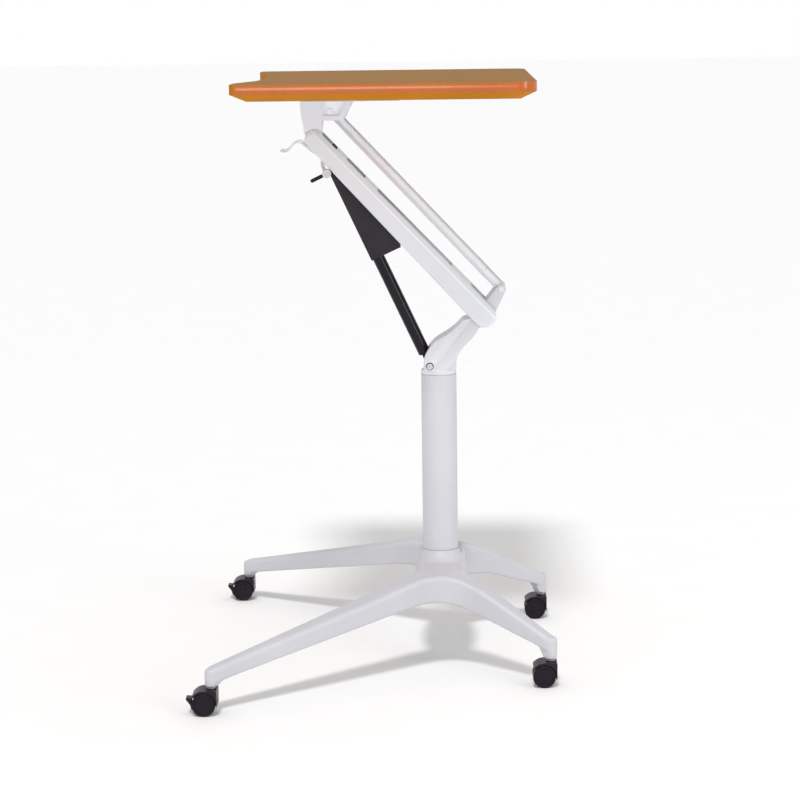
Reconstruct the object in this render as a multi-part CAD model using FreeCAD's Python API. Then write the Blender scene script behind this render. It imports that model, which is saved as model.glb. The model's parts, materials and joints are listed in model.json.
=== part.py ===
import FreeCAD
import Part
import math
import os

os.makedirs("parts", exist_ok=True)

# Free-standing height-adjustable laptop desk: four-legged base on casters, column, parallelogram arm
# with a gas spring, and a wooden top. Millimetres, +Z up, -Y is the user's side, X is the pivot direction.
# The model is drawn around the column axis and every node is then moved by ROW_SHIFT along Y.
ROW_SHIFT = 112.25

# Tabletop
TOP_Z = 1047.0
TOP_THICK = 28.0
TOP_BAND = 16.0
TOP_BEVEL = 26.0
TOP_HALF_X = 360.0
TOP_FRONT_Y = -334.4
TOP_BACK_Y = 166.9
TOP_BACK_R = 33.0
TOP_FRONT_R = 12.0
TOP_LEAST_R = 3.0
SCOOP_FLAT_X = 95.0
SCOOP_END_X = 305.0
SCOOP_CURVE = [(130.0, 33.5), (170.0, 28.5), (212.0, 18.0), (255.0, 6.0)]
SCOOP_DEPTH = 36.0

# Pivots, as (Y, Z)
PIVOT_A = (83.0, 622.0)
ARM_LENGTH = 436.4
ARM_SLOPE = 46.7
LINK_OFFSET = (30.0, 48.0)
PIVOT_C = (
    PIVOT_A[0] - ARM_LENGTH * math.cos(math.radians(ARM_SLOPE)),
    PIVOT_A[1] + ARM_LENGTH * math.sin(math.radians(ARM_SLOPE)),
)
PIVOT_B = (PIVOT_A[0] + LINK_OFFSET[0], PIVOT_A[1] + LINK_OFFSET[1])
PIVOT_D = (PIVOT_C[0] + LINK_OFFSET[0], PIVOT_C[1] + LINK_OFFSET[1])
SPRING_FOOT = (-15.5, 531.8)
SPRING_SLOPE = 114.93
SPRING_LENGTH = 407.1

# Arm channel, drawn along +Y from pivot C
ARM_HALF_X = 36.0
ARM_INNER_X = 31.0
ARM_TOP_R = 16.0
ARM_FOOT_R = 20.5
ARM_ROOF = 3.5
ARM_ROOFS = [(41.0, 67.0), (112.0, 144.0), (332.0, 381.0)]
ARM_BEVEL_X = 33.9
ARM_FIELD_Z = -4.0
ARM_FIELD_TOP_R = 10.5
ARM_FIELD_FOOT_R = 15.0
PIN_HOLE_X = 33.4
PIN_R = 6.0
RUN = 0.05

# Upper link, drawn along +Y from pivot D
LINK_HALF_X = 30.0
LINK_END_X = 23.5
LINK_HALF_Z = 7.5
LINK_WALL = 2.5
LINK_LEAN = 1.8
LINK_PIN_R = 3.6

# Column and base
TUBE_R = 31.85
TUBE_BORE_R = 29.5
TUBE_TOP = 515.0
TUBE_FOOT = 128.0
HEAD_FOOT = 523.0
HEAD_HALF_X = 30.0
LUG_INNER_X = 24.0
HUB_FOOT = 120.0
POST_R = 10.75
POST_FOOT = 48.0
STEM_R = 4.0
FRONT_POST = (388.0, -385.2)
BACK_POST = (232.6, 191.5)

# Casters: wheel centre trails the stem toward -Y
WHEEL_R = 20.0
WHEEL_TRAIL = 12.0
WHEEL_INNER_X = 5.2
WHEEL_OUTER_X = 20.0
AXLE_R = 2.5
HOOD_R = 24.5
HOOD_INNER_R = 21.4
HOOD_BACK_Y = 10.3
HOOD_FOOT_Z = 16.5
HOOD_CORNER = 2.0
GUSSET_FOOT = 50.0
GUSSET_REACH = 8.0


def vec(x, y, z):
    return FreeCAD.Vector(x, y, z)


def save(name, shape):
    moved = shape.copy()
    moved.translate(vec(0, ROW_SHIFT, 0))
    moved.exportStep("parts/" + name + ".step")


def join(shapes):
    result = shapes[0]
    if len(shapes) > 1:
        result = shapes[0].multiFuse(shapes[1:])
    return result.removeSplitter()


def box(x0, x1, y0, y1, z0, z1):
    return Part.makeBox(x1 - x0, y1 - y0, z1 - z0, vec(x0, y0, z0))


def rod_x(y, z, r, x0, x1):
    return Part.makeCylinder(r, x1 - x0, vec(x0, y, z), vec(1, 0, 0))


def rod_z(x, y, r, z0, z1):
    return Part.makeCylinder(r, z1 - z0, vec(x, y, z0), vec(0, 0, 1))


def prism_yz(points, x0, x1):
    corners = [vec(x0, y, z) for y, z in points]
    wire = Part.makePolygon(corners + [corners[0]])
    return Part.Face(wire).extrude(vec(x1 - x0, 0, 0))


def prism_xy(points, z0, z1):
    corners = [vec(x, y, z0) for x, y in points]
    wire = Part.makePolygon(corners + [corners[0]])
    return Part.Face(wire).extrude(vec(0, 0, z1 - z0))


def hull_wire(c0, r0, c1, r1, x):
    """Outline of two discs in a YZ plane and the straight tangents between them."""
    along = vec(0, c1[0] - c0[0], c1[1] - c0[1])
    length = along.Length
    along.normalize()
    side = vec(0, -along.z, along.y)
    lean = (r0 - r1) / length
    rise = math.sqrt(1.0 - lean * lean)
    up = along * lean + side * rise
    down = along * lean - side * rise
    p0 = vec(x, c0[0], c0[1])
    p1 = vec(x, c1[0], c1[1])
    edges = [
        Part.Arc(p0 + up * r0, p0 - along * r0, p0 + down * r0).toShape(),
        Part.makeLine(p0 + down * r0, p1 + down * r1),
        Part.Arc(p1 + down * r1, p1 + along * r1, p1 + up * r1).toShape(),
        Part.makeLine(p1 + up * r1, p0 + up * r0),
    ]
    return Part.Wire(edges)


def hull_yz(c0, r0, c1, r1, x0, x1):
    return Part.Face(hull_wire(c0, r0, c1, r1, x0)).extrude(vec(x1 - x0, 0, 0))


def both(shape):
    """The shape and its mirror image across the middle plane, as separate solids."""
    return Part.makeCompound([shape, shape.mirror(vec(0, 0, 0), vec(1, 0, 0))])


def mirrored(shape):
    return shape.mirror(vec(0, 0, 0), vec(1, 0, 0))


def lay(shape, pivot, degrees):
    """Turns a shape drawn along +Y from the origin about X, and moves it to the pivot."""
    placed = shape.copy()
    placed.rotate(vec(0, 0, 0), vec(1, 0, 0), degrees)
    placed.translate(vec(0, pivot[0], pivot[1]))
    return placed


def on_arm(along, above):
    slope = math.radians(-ARM_SLOPE)
    y = PIVOT_C[0] + along * math.cos(slope) - above * math.sin(slope)
    z = PIVOT_C[1] + along * math.sin(slope) + above * math.cos(slope)
    return (y, z)


def curve(points, tangent0, tangent1):
    line = Part.BSplineCurve()
    line.interpolate(Points=points, InitialTangent=tangent0, FinalTangent=tangent1)
    return line.toShape()


# ---------------------------------------------------------------- top


def top_outline(inset, z):
    """Tabletop plan moved inward by inset: rounded rectangle with a scooped front edge."""
    half = TOP_HALF_X - inset
    front = TOP_FRONT_Y + inset
    back = TOP_BACK_Y - inset
    front_r = max(TOP_FRONT_R - inset, TOP_LEAST_R)
    back_r = TOP_BACK_R - inset
    bend = math.sqrt(0.5)
    scoop = front + SCOOP_DEPTH
    right = [vec(SCOOP_FLAT_X, scoop, z)]
    right += [vec(x, front + d, z) for x, d in SCOOP_CURVE]
    right.append(vec(SCOOP_END_X, front, z))
    left = [vec(-p.x, p.y, p.z) for p in reversed(right)]
    ahead = vec(1, 0, 0)
    fr = vec(half - front_r, front + front_r, z)
    br = vec(half - back_r, back - back_r, z)
    fl = vec(-fr.x, fr.y, z)
    bl = vec(-br.x, br.y, z)
    edges = [
        Part.makeLine(left[-1], right[0]),
        curve(right, ahead, ahead),
        Part.makeLine(right[-1], fr + vec(0, -front_r, 0)),
        Part.Arc(fr + vec(0, -front_r, 0), fr + vec(bend, -bend, 0) * front_r, fr + vec(front_r, 0, 0)).toShape(),
        Part.makeLine(fr + vec(front_r, 0, 0), br + vec(back_r, 0, 0)),
        Part.Arc(br + vec(back_r, 0, 0), br + vec(bend, bend, 0) * back_r, br + vec(0, back_r, 0)).toShape(),
        Part.makeLine(br + vec(0, back_r, 0), bl + vec(0, back_r, 0)),
        Part.Arc(bl + vec(0, back_r, 0), bl + vec(-bend, bend, 0) * back_r, bl + vec(-back_r, 0, 0)).toShape(),
        Part.makeLine(bl + vec(-back_r, 0, 0), fl + vec(-front_r, 0, 0)),
        Part.Arc(fl + vec(-front_r, 0, 0), fl + vec(-bend, -bend, 0) * front_r, fl + vec(0, -front_r, 0)).toShape(),
        Part.makeLine(fl + vec(0, -front_r, 0), left[0]),
        curve(left, ahead, ahead),
    ]
    return Part.Wire(edges)


def tabletop():
    band_foot = TOP_Z - TOP_BAND
    band = Part.Face(top_outline(0.0, band_foot)).extrude(vec(0, 0, TOP_BAND))
    lower = top_outline(TOP_BEVEL, TOP_Z - TOP_THICK)
    bevel = Part.makeLoft([lower, top_outline(0.0, band_foot)], True, True)
    return join([band, bevel])


PLATE_FOOT = 1007.5
PLATE_TOP = TOP_Z - TOP_THICK
PLATE_HALF_X = 95.0
PLATE_Y = (-237.0, -60.0)
PLATE_SCREWS = [(82.0, -222.0), (82.0, -148.0), (82.0, -75.0)]
BRACKET_SCREWS = [(22.0, -230.0), (22.0, -206.0)]
SCREW_R = 2.5
SCREW_HEAD_R = 5.0
SCREW_SINK = 3.0


def mounting_plate():
    plate = box(-PLATE_HALF_X, PLATE_HALF_X, PLATE_Y[0], PLATE_Y[1], PLATE_FOOT, PLATE_TOP)
    edges = [e for e in plate.Edges if abs(e.Vertexes[0].Z - e.Vertexes[1].Z) > 1]
    plate = plate.makeFillet(12.0, edges)
    rim = [e for e in plate.Edges if max(v.Z for v in e.Vertexes) < PLATE_FOOT + 0.1]
    plate = plate.makeChamfer(2.5, rim)
    for x, y in PLATE_SCREWS:
        for side in (-1, 1):
            plate = plate.cut(rod_z(side * x, y, SCREW_R + RUN, PLATE_FOOT - 1, PLATE_TOP + 1))
            plate = plate.cut(rod_z(side * x, y, SCREW_HEAD_R + RUN, PLATE_FOOT - 1, PLATE_FOOT + SCREW_SINK))
    for x, y in BRACKET_SCREWS:
        for side in (-1, 1):
            plate = plate.cut(rod_z(side * x, y, SCREW_R + RUN, PLATE_FOOT - 1, PLATE_TOP + 1))
            plate = plate.cut(rod_z(side * x, y, SCREW_HEAD_R + RUN, PLATE_TOP - 5, PLATE_TOP + 1))
    return plate


def plate_screws():
    made = []
    for x, y in PLATE_SCREWS:
        for side in (-1, 1):
            shank = rod_z(side * x, y, SCREW_R, PLATE_FOOT + 1, PLATE_TOP - 0.1)
            head = rod_z(side * x, y, SCREW_HEAD_R, PLATE_FOOT + 0.2, PLATE_FOOT + SCREW_SINK)
            made.append(join([shank, head]))
    return Part.makeCompound(made)


def bracket_screws():
    made = []
    for x, y in BRACKET_SCREWS:
        for side in (-1, 1):
            shank = rod_z(side * x, y, SCREW_R, PLATE_FOOT - 24, PLATE_TOP - 2)
            head = rod_z(side * x, y, SCREW_HEAD_R, PLATE_TOP - 5, PLATE_TOP - 1)
            made.append(join([shank, head]))
    return Part.makeCompound(made)


TONGUE_FRONT = [(-232.4, 948.6), (-234.2, 964.4), (-236.8, 974.9), (-238.8, 990.6), (-239.0, PLATE_FOOT)]
TONGUE_BACK = [(-196.8, PLATE_FOOT), (-197.0, 990.5), (-200.7, 972.2), (-202.4, 957.6)]
ARM_SWEEP_R = 17.0
TONGUE_R = 14.0
WEB_INNER_X = 25.0
WING = [
    (-200.7, 972.0),
    (-174.6, 972.0),
    (-162.4, 973.0),
    (-147.9, 1002.7),
    (-147.9, PLATE_FOOT),
    (-205.0, PLATE_FOOT),
    (-205.0, 972.0),
]
WING_PANEL = [(-200.7, 980.0), (-171.0, 980.0), (-156.5, PLATE_FOOT + 0.5), (-200.7, PLATE_FOOT + 0.5)]
PANEL_X = 31.0
TONGUE_CORE = [(-232.4, 948.6), (-234.2, 964.4), (-202.4, 964.4), (-203.0, 944.0), (-216.0, 928.0)]


def table_bracket():
    tongue_x = HEAD_HALF_X
    sweep_top = PIVOT_C[1] + ARM_SWEEP_R + 0.7
    outline = TONGUE_FRONT + TONGUE_BACK + [(PIVOT_C[0], sweep_top)]
    block = prism_yz(outline, -ARM_HALF_X, ARM_HALF_X)
    block = block.cut(rod_x(PIVOT_C[0], PIVOT_C[1], ARM_SWEEP_R, -50, 50))
    core = prism_yz(TONGUE_CORE, -tongue_x, tongue_x)
    hub = rod_x(PIVOT_C[0], PIVOT_C[1], TONGUE_R, -tongue_x, tongue_x)
    web = prism_yz(WING, WEB_INNER_X, ARM_HALF_X)
    web = web.cut(prism_yz(WING_PANEL, PANEL_X, ARM_HALF_X + 1))
    whole = join([block, core, hub, web, mirrored(web)])
    whole = whole.cut(rod_x(PIVOT_C[0], PIVOT_C[1], PIN_R + RUN, -50, 50))
    whole = whole.cut(rod_x(PIVOT_D[0], PIVOT_D[1], LINK_PIN_R + RUN, -50, 50))
    for x, y in BRACKET_SCREWS:
        for side in (-1, 1):
            whole = whole.cut(rod_z(side * x, y, SCREW_R + RUN, PLATE_FOOT - 24.2, PLATE_FOOT + 1))
    return whole


# ---------------------------------------------------------------- arm


def arm_cheek():
    """Right cheek: flat plate with a raised field, so that a wide bevel runs round its upper edge and ends."""
    plate = hull_yz((0, 0), ARM_TOP_R, (ARM_LENGTH, 0), ARM_FOOT_R, ARM_INNER_X, ARM_BEVEL_X)
    rim = hull_wire((0, 0), ARM_TOP_R, (ARM_LENGTH, 0), ARM_FOOT_R, ARM_BEVEL_X)
    field = hull_wire((0, ARM_FIELD_Z), ARM_FIELD_TOP_R, (ARM_LENGTH, ARM_FIELD_Z), ARM_FIELD_FOOT_R, ARM_HALF_X)
    return join([plate, Part.makeLoft([rim, field], True, True)])


def arm_channel():
    cheek = arm_cheek()
    middle = hull_yz((0, 0), ARM_TOP_R, (ARM_LENGTH, 0), ARM_FOOT_R, -ARM_INNER_X - 1, ARM_INNER_X + 1)
    under = hull_yz(
        (0, 0), ARM_TOP_R - ARM_ROOF, (ARM_LENGTH, 0), ARM_FOOT_R - ARM_ROOF, -ARM_INNER_X - 2, ARM_INNER_X + 2
    )
    roof = middle.cut(under)
    pieces = [cheek, mirrored(cheek)]
    for start, end in ARM_ROOFS:
        pieces.append(roof.common(box(-50, 50, start, end, 0, 60)))
    whole = join(pieces)
    for along in (0.0, ARM_LENGTH):
        whole = whole.cut(rod_x(along, 0, PIN_R + RUN, -PIN_HOLE_X, PIN_HOLE_X))
    lever_hole = rod_x(LEVER_PIN_AT[0], LEVER_PIN_AT[1], LEVER_PIN_R + RUN, -PIN_HOLE_X, PIN_HOLE_X)
    return lay(whole.cut(lever_hole), PIVOT_C, -ARM_SLOPE)


def pivot_pin(pivot, radius, half):
    return rod_x(pivot[0], pivot[1], radius, -half, half)


def pivot_washers(pivot, outer, bore, x0, x1):
    ring = rod_x(pivot[0], pivot[1], outer, x0, x1).cut(rod_x(pivot[0], pivot[1], bore, x0 - 1, x1 + 1))
    return both(ring)


def bump_stop():
    pad = box(-12, 12, 30, ARM_ROOFS[0][0], 12.0, 17.5)
    edges = [e for e in pad.Edges if min(v.Z for v in e.Vertexes) > 17]
    return lay(pad.makeFillet(1.5, edges), PIVOT_C, -ARM_SLOPE)


# ---------------------------------------------------------------- link


def link_plan(inset, z0, z1):
    wide = LINK_HALF_X - inset
    narrow = LINK_END_X - inset
    points = [
        (wide, 60.0),
        (wide, ARM_LENGTH - 42.0),
        (narrow, ARM_LENGTH - 28.0),
        (narrow, ARM_LENGTH + 12.0),
        (-narrow, ARM_LENGTH + 12.0),
        (-narrow, ARM_LENGTH - 28.0),
        (-wide, ARM_LENGTH - 42.0),
        (-wide, 60.0),
        (-narrow, 46.0),
        (-narrow, -12.0),
        (narrow, -12.0),
        (narrow, 46.0),
    ]
    return prism_xy(points, z0, z1)


def link_channel():
    rounded = hull_yz((0, 0), LINK_HALF_Z, (ARM_LENGTH, 0), LINK_HALF_Z, -50, 50)
    whole = rounded.common(link_plan(0.0, -20, 20))
    lean = math.degrees(math.atan2(LINK_LEAN, LINK_HALF_Z))
    for side in (-1, 1):
        wedge = box(0, 30, 62.0, ARM_LENGTH - 44.0, 0, 30)
        wedge.rotate(vec(0, 0, 0), vec(0, 1, 0), -lean)
        if side < 0:
            wedge = mirrored(wedge)
        wedge.translate(vec(side * LINK_HALF_X, 0, 0))
        whole = whole.cut(wedge)
    whole = whole.cut(link_plan(LINK_WALL + LINK_LEAN, LINK_WALL - LINK_HALF_Z, 20))
    for along in (0.0, ARM_LENGTH):
        whole = whole.cut(rod_x(along, 0, LINK_PIN_R + RUN, -50, 50))
        whole = whole.cut(box(-20, 20, along - 9, along + 9, -20, 20))
    return lay(whole, PIVOT_D, -ARM_SLOPE)


# ---------------------------------------------------------------- gas spring, drawn from its lower eye

CYLINDER_R = 11.0
CYLINDER_START = 22.0
CYLINDER_END = 258.0
BORE_END = 26.0
ROD_R = 5.0
EYE_R = 8.0
EYE_HALF_X = 9.0
SPRING_BOLT_R = 4.0
SHROUD_HALF_X = 22.0
SHROUD_WALL = 2.0
SHROUD_BACK = 12.2
SHROUD_BACK_WALL = 0.9
SHROUD_SIDE = [(15.0, 12.2), (192.0, 12.2), (192.0, -46.0), (60.0, -16.0), (15.0, -10.0)]


def spring_along(y, r, y0, y1):
    return Part.makeCylinder(r, y1 - y0, vec(0, y0, y), vec(0, 1, 0))


def gas_cylinder():
    body = spring_along(0, CYLINDER_R, CYLINDER_START, CYLINDER_END)
    body = body.makeFillet(2.0, [e for e in body.Edges if e.Closed])
    body = body.cut(spring_along(0, ROD_R + RUN, BORE_END, CYLINDER_END + 1))
    return lay(body, SPRING_FOOT, SPRING_SLOPE)


def cylinder_eye():
    eye = rod_x(0, 0, EYE_R, -EYE_HALF_X, EYE_HALF_X)
    shank = spring_along(0, 6.0, 0, CYLINDER_START)
    whole = join([eye, shank]).cut(rod_x(0, 0, SPRING_BOLT_R + RUN, -20, 20))
    return lay(whole, SPRING_FOOT, SPRING_SLOPE)


def from_top(distance):
    return SPRING_LENGTH - distance


def piston_rod():
    rod = spring_along(0, ROD_R, from_top(168.0), from_top(12.0))
    return lay(rod, SPRING_FOOT, SPRING_SLOPE)


def rod_eye():
    top = SPRING_LENGTH
    eye = rod_x(top, 0, EYE_R, -EYE_HALF_X, EYE_HALF_X)
    shank = spring_along(0, 7.0, from_top(26.0), top)
    whole = join([eye, shank])
    whole = whole.cut(rod_x(top, 0, SPRING_BOLT_R + RUN, -20, 20))
    whole = whole.cut(spring_along(0, ROD_R + RUN, from_top(27.0), from_top(11.9)))
    return lay(whole, SPRING_FOOT, SPRING_SLOPE)


def rod_pin():
    return lay(rod_x(SPRING_LENGTH, 0, SPRING_BOLT_R, -26, 26), SPRING_FOOT, SPRING_SLOPE)


def shroud():
    """U-section of sheet whose closed side lies along the outer side of the spring."""
    outline = [(from_top(a), p) for a, p in SHROUD_SIDE]
    outer = prism_yz(outline, -SHROUD_HALF_X, SHROUD_HALF_X)
    inner_x = SHROUD_HALF_X - SHROUD_WALL
    inner_back = SHROUD_BACK - SHROUD_BACK_WALL
    whole = outer.cut(box(-inner_x, inner_x, 0, SPRING_LENGTH, -90, inner_back))
    end_wall = box(-inner_x, inner_x, from_top(22.0), from_top(18.0), -10.0, inner_back)
    end_wall = end_wall.cut(spring_along(0, 7.0 + RUN, 0, SPRING_LENGTH))
    return lay(join([whole, end_wall]), SPRING_FOOT, SPRING_SLOPE)


# ---------------------------------------------------------------- hand controls

LEVER_PIN_AT = (22.0, -10.0)
LEVER_PIN_R = 2.5
LEVER_HALF_X = 25.0
LEVER_THICK = 3.6
LEVER_PATH = [
    (-275.7, 919.7),
    (-264.1, 919.7),
    (-259.8, 923.5),
    (-248.6, 933.2),
    (-242.4, 934.2),
    (-234.6, 929.8),
    (-228.9, 925.8),
    (-223.7, 920.8),
    (-218.0, 916.8),
]


def strip(path, thick, x0, x1):
    """A bent sheet strip of even thickness along a smooth path in the YZ plane."""
    line = Part.BSplineCurve()
    line.interpolate([vec(x0, y, z) for y, z in path])
    first, last = line.FirstParameter, line.LastParameter
    count = 4 * len(path)
    upper = []
    lower = []
    for i in range(count + 1):
        at = first + (last - first) * i / count
        here = line.value(at)
        tangent = line.tangent(at)[0]
        normal = vec(0, -tangent.z, tangent.y)
        upper.append(here + normal * (thick / 2))
        lower.append(here - normal * (thick / 2))
    top = Part.BSplineCurve()
    top.interpolate(upper)
    bottom = Part.BSplineCurve()
    bottom.interpolate(lower)
    edges = [
        top.toShape(),
        Part.makeLine(upper[-1], lower[-1]),
        bottom.toShape(),
        Part.makeLine(lower[0], upper[0]),
    ]
    face = Part.Face(Part.Wire(Part.sortEdges(edges)[0]))
    return face.extrude(vec(x1 - x0, 0, 0))


def release_lever():
    pin = on_arm(*LEVER_PIN_AT)
    blade = strip(LEVER_PATH + [(pin[0] - 4.0, pin[1] - 3.2)], LEVER_THICK, -LEVER_HALF_X, LEVER_HALF_X)
    roll = rod_x(pin[0], pin[1], LEVER_PIN_R + 3.0, -LEVER_HALF_X, LEVER_HALF_X)
    return join([blade, roll]).cut(rod_x(pin[0], pin[1], LEVER_PIN_R + RUN, -40, 40))


def lever_pin():
    pin = on_arm(*LEVER_PIN_AT)
    return rod_x(pin[0], pin[1], LEVER_PIN_R, 0.2 - PIN_HOLE_X, PIN_HOLE_X - 0.2)


HANDLE_AT = (-194.1, 878.8)
HANDLE_TIP = (-219.6, 866.5)
HANDLE_BOSS_R = 8.0
HANDLE_PIN_R = 3.0
HANDLE_X = (33.5, 40.0)
BRACKET_X = (27.0, 33.0)


def handle_bracket():
    """Curved ear that hangs below the arm cheek and carries the stick handle."""
    ear = strip([on_arm(38.0, -12.0), (-201.7, 897.2), (-198.7, 886.7), HANDLE_AT], 6.0, *BRACKET_X)
    eye = rod_x(HANDLE_AT[0], HANDLE_AT[1], HANDLE_BOSS_R, *BRACKET_X)
    pad = box(BRACKET_X[0], ARM_INNER_X, 28, 52, -15, -4)
    whole = join([ear, eye, lay(pad, PIVOT_C, -ARM_SLOPE)])
    cheek = hull_yz((0, 0), ARM_TOP_R + RUN, (ARM_LENGTH, 0), ARM_FOOT_R + RUN, ARM_INNER_X, 60)
    whole = whole.cut(lay(cheek, PIVOT_C, -ARM_SLOPE))
    return whole.cut(rod_x(HANDLE_AT[0], HANDLE_AT[1], HANDLE_PIN_R + RUN, 0, 60))


def handle_pin():
    shank = rod_x(HANDLE_AT[0], HANDLE_AT[1], HANDLE_PIN_R, BRACKET_X[0] - 1, HANDLE_X[1] - 0.4)
    tail = rod_x(HANDLE_AT[0], HANDLE_AT[1], HANDLE_PIN_R + 2, BRACKET_X[0] - 2, BRACKET_X[0])
    return join([shank, tail])


def handle_boss():
    boss = rod_x(HANDLE_AT[0], HANDLE_AT[1], HANDLE_BOSS_R, *HANDLE_X)
    boss = boss.makeFillet(1.0, [e for e in boss.Edges if e.Closed])
    boss = boss.cut(rod_x(HANDLE_AT[0], HANDLE_AT[1], HANDLE_PIN_R + RUN, 0, 60))
    return boss.cut(stick_solid(RUN))


def stick_solid(grow):
    start = vec(sum(HANDLE_X) / 2, HANDLE_AT[0], HANDLE_AT[1])
    aim = vec(0, HANDLE_TIP[0] - HANDLE_AT[0], HANDLE_TIP[1] - HANDLE_AT[1])
    length = aim.Length
    aim.normalize()
    return Part.makeCylinder(2.6 + grow, length - 5.0 + grow, start + aim * (5.0 - grow), aim)


def stick_handle():
    start = vec(sum(HANDLE_X) / 2, HANDLE_AT[0], HANDLE_AT[1])
    aim = vec(0, HANDLE_TIP[0] - HANDLE_AT[0], HANDLE_TIP[1] - HANDLE_AT[1])
    length = aim.Length
    aim.normalize()
    sleeve = Part.makeCylinder(3.4, length - 9.0, start + aim * 9.0, aim)
    knob = Part.makeSphere(3.4, start + aim * length)
    return join([stick_solid(0.0), sleeve, knob])


# ---------------------------------------------------------------- column head

NECK_LEFT = [(-26.0, 544.0), (-20.3, 558.4), (-5.6, 576.4), (11.2, 587.1), (32.8, 603.3), (43.6, 614.8)]
NECK_RIGHT = [(71.4, 599.4), (54.8, 576.0), (37.8, 556.0), (32.2, 540.0)]
GROOVE = [(-9.7, 524.0), (3.3, 549.4), (21.8, 572.8), (43.4, 594.4)]
GROOVE_WIDTH = 2.4
GROOVE_DEPTH = 1.2
HEAD_END_R = 17.0
LUG_R = 8.4
SPRING_SLOT_X = 13.0
SPRING_SLOT = [(-60.0, 523.2), (-3.0, 523.2), (-3.0, 541.0), (-30.0, 600.0), (-60.0, 600.0)]


def neck_wire(x):
    left = [vec(x, y, z) for y, z in NECK_LEFT]
    right = [vec(x, y, z) for y, z in NECK_RIGHT]
    left_line = Part.BSplineCurve()
    left_line.interpolate(left)
    right_line = Part.BSplineCurve()
    right_line.interpolate(right)
    foot_left = vec(x, -27.0, HEAD_FOOT)
    foot_right = vec(x, 32.1, HEAD_FOOT)
    edges = [
        Part.makeLine(foot_left, left[0]),
        left_line.toShape(),
        Part.makeLine(left[-1], vec(x, PIVOT_A[0] - 15.0, PIVOT_A[1])),
        Part.makeLine(vec(x, PIVOT_A[0] - 15.0, PIVOT_A[1]), vec(x, PIVOT_A[0] + 10.0, PIVOT_A[1] - 12.0)),
        Part.makeLine(vec(x, PIVOT_A[0] + 10.0, PIVOT_A[1] - 12.0), right[0]),
        right_line.toShape(),
        Part.makeLine(right[-1], foot_right),
        Part.makeLine(foot_right, foot_left),
    ]
    return Part.Wire(edges)


def column_head():
    neck = Part.Face(neck_wire(-HEAD_HALF_X)).extrude(vec(2 * HEAD_HALF_X, 0, 0))
    flare = Part.makeCone(31.5, 62.0, 55.0, vec(0, 0, HEAD_FOOT), vec(0, 0, 1))
    above = box(-60, 60, -100, 200, HEAD_FOOT + 55, 800)
    neck = neck.common(join([flare, above]))
    boss = rod_x(PIVOT_A[0], PIVOT_A[1], HEAD_END_R, -HEAD_HALF_X, HEAD_HALF_X)
    lug = hull_yz(PIVOT_A, 15.0, PIVOT_B, LUG_R, LUG_INNER_X, HEAD_HALF_X)
    whole = join([neck, boss, lug, mirrored(lug)])
    whole = whole.cut(prism_yz(SPRING_SLOT, -SPRING_SLOT_X, SPRING_SLOT_X))
    groove = strip(GROOVE, GROOVE_WIDTH, HEAD_HALF_X - GROOVE_DEPTH, HEAD_HALF_X + 1)
    whole = whole.cut(groove).cut(mirrored(groove))
    whole = whole.cut(rod_x(PIVOT_A[0], PIVOT_A[1], PIN_R + RUN, -50, 50))
    whole = whole.cut(rod_x(PIVOT_B[0], PIVOT_B[1], LINK_PIN_R + RUN, -50, 50))
    seat = rod_x(SPRING_FOOT[0], SPRING_FOOT[1], 6.6, SEAT_X, 60)
    whole = whole.cut(seat).cut(mirrored(seat))
    return whole.cut(rod_x(SPRING_FOOT[0], SPRING_FOOT[1], SPRING_BOLT_R + RUN, -50, 50))


SEAT_X = 24.0


def spring_bolt():
    shank = rod_x(SPRING_FOOT[0], SPRING_FOOT[1], SPRING_BOLT_R, -SEAT_X - 8.0, SEAT_X + 2.0)
    head = rod_x(SPRING_FOOT[0], SPRING_FOOT[1], 5.2, SEAT_X + 1.2, SEAT_X + 7.5)
    socket = rod_x(SPRING_FOOT[0], SPRING_FOOT[1], 2.4, SEAT_X + 4.0, SEAT_X + 8)
    return join([shank, head]).cut(socket)


def spring_bolt_washers():
    return pivot_washers(SPRING_FOOT, 6.4, SPRING_BOLT_R + RUN, SEAT_X, SEAT_X + 1.2)


def spring_bolt_nut():
    corners = []
    for i in range(6):
        turn = math.radians(60 * i)
        corners.append((SPRING_FOOT[0] + 6.0 * math.cos(turn), SPRING_FOOT[1] + 6.0 * math.sin(turn)))
    nut = prism_yz(corners, -SEAT_X - 7.0, -SEAT_X - 1.2)
    return nut.cut(rod_x(SPRING_FOOT[0], SPRING_FOOT[1], SPRING_BOLT_R + RUN, -50, 0))


def link_pin(pivot, reach):
    shank = rod_x(pivot[0], pivot[1], LINK_PIN_R, -reach, reach)
    cap = rod_x(pivot[0], pivot[1], LINK_PIN_R + 1.2, reach, reach + 1.5)
    return join([shank, cap, mirrored(cap)])


# ---------------------------------------------------------------- column and base


def column_tube():
    return rod_z(0, 0, TUBE_R, TUBE_FOOT, TUBE_TOP).cut(rod_z(0, 0, TUBE_BORE_R, TUBE_FOOT - 1, TUBE_TOP + 1))


def column_collar():
    disc = rod_z(0, 0, 31.5, TUBE_TOP, HEAD_FOOT)
    disc = disc.makeChamfer(1.0, [e for e in disc.Edges if e.Closed and e.Vertexes[0].Z < TUBE_TOP + 1])
    spigot = rod_z(0, 0, TUBE_BORE_R - RUN, TUBE_TOP - 22, TUBE_TOP + 0.5)
    return join([disc, spigot])


def column_foot_ring():
    ring = rod_z(0, 0, TUBE_R + 0.6, HUB_RISE, HUB_RISE + 1.0)
    return ring.cut(rod_z(0, 0, TUBE_R + RUN, HUB_RISE - 1, HUB_RISE + 9))


FRONT_LEG = {"tip": FRONT_POST, "root": (137.0, -23.6), "half": (11.8, 27.7), "top": 79.3}
BACK_LEG = {"tip": BACK_POST, "root": (127.8, 33.0), "half": (12.0, 21.7), "top": 88.3}
HUB_RISE = 195.0
HUB_TOP = 175.0
LEG_WALL = 4.5
LEG_CHAMFER = 5.0
SIDE_R = 80.0
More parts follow.
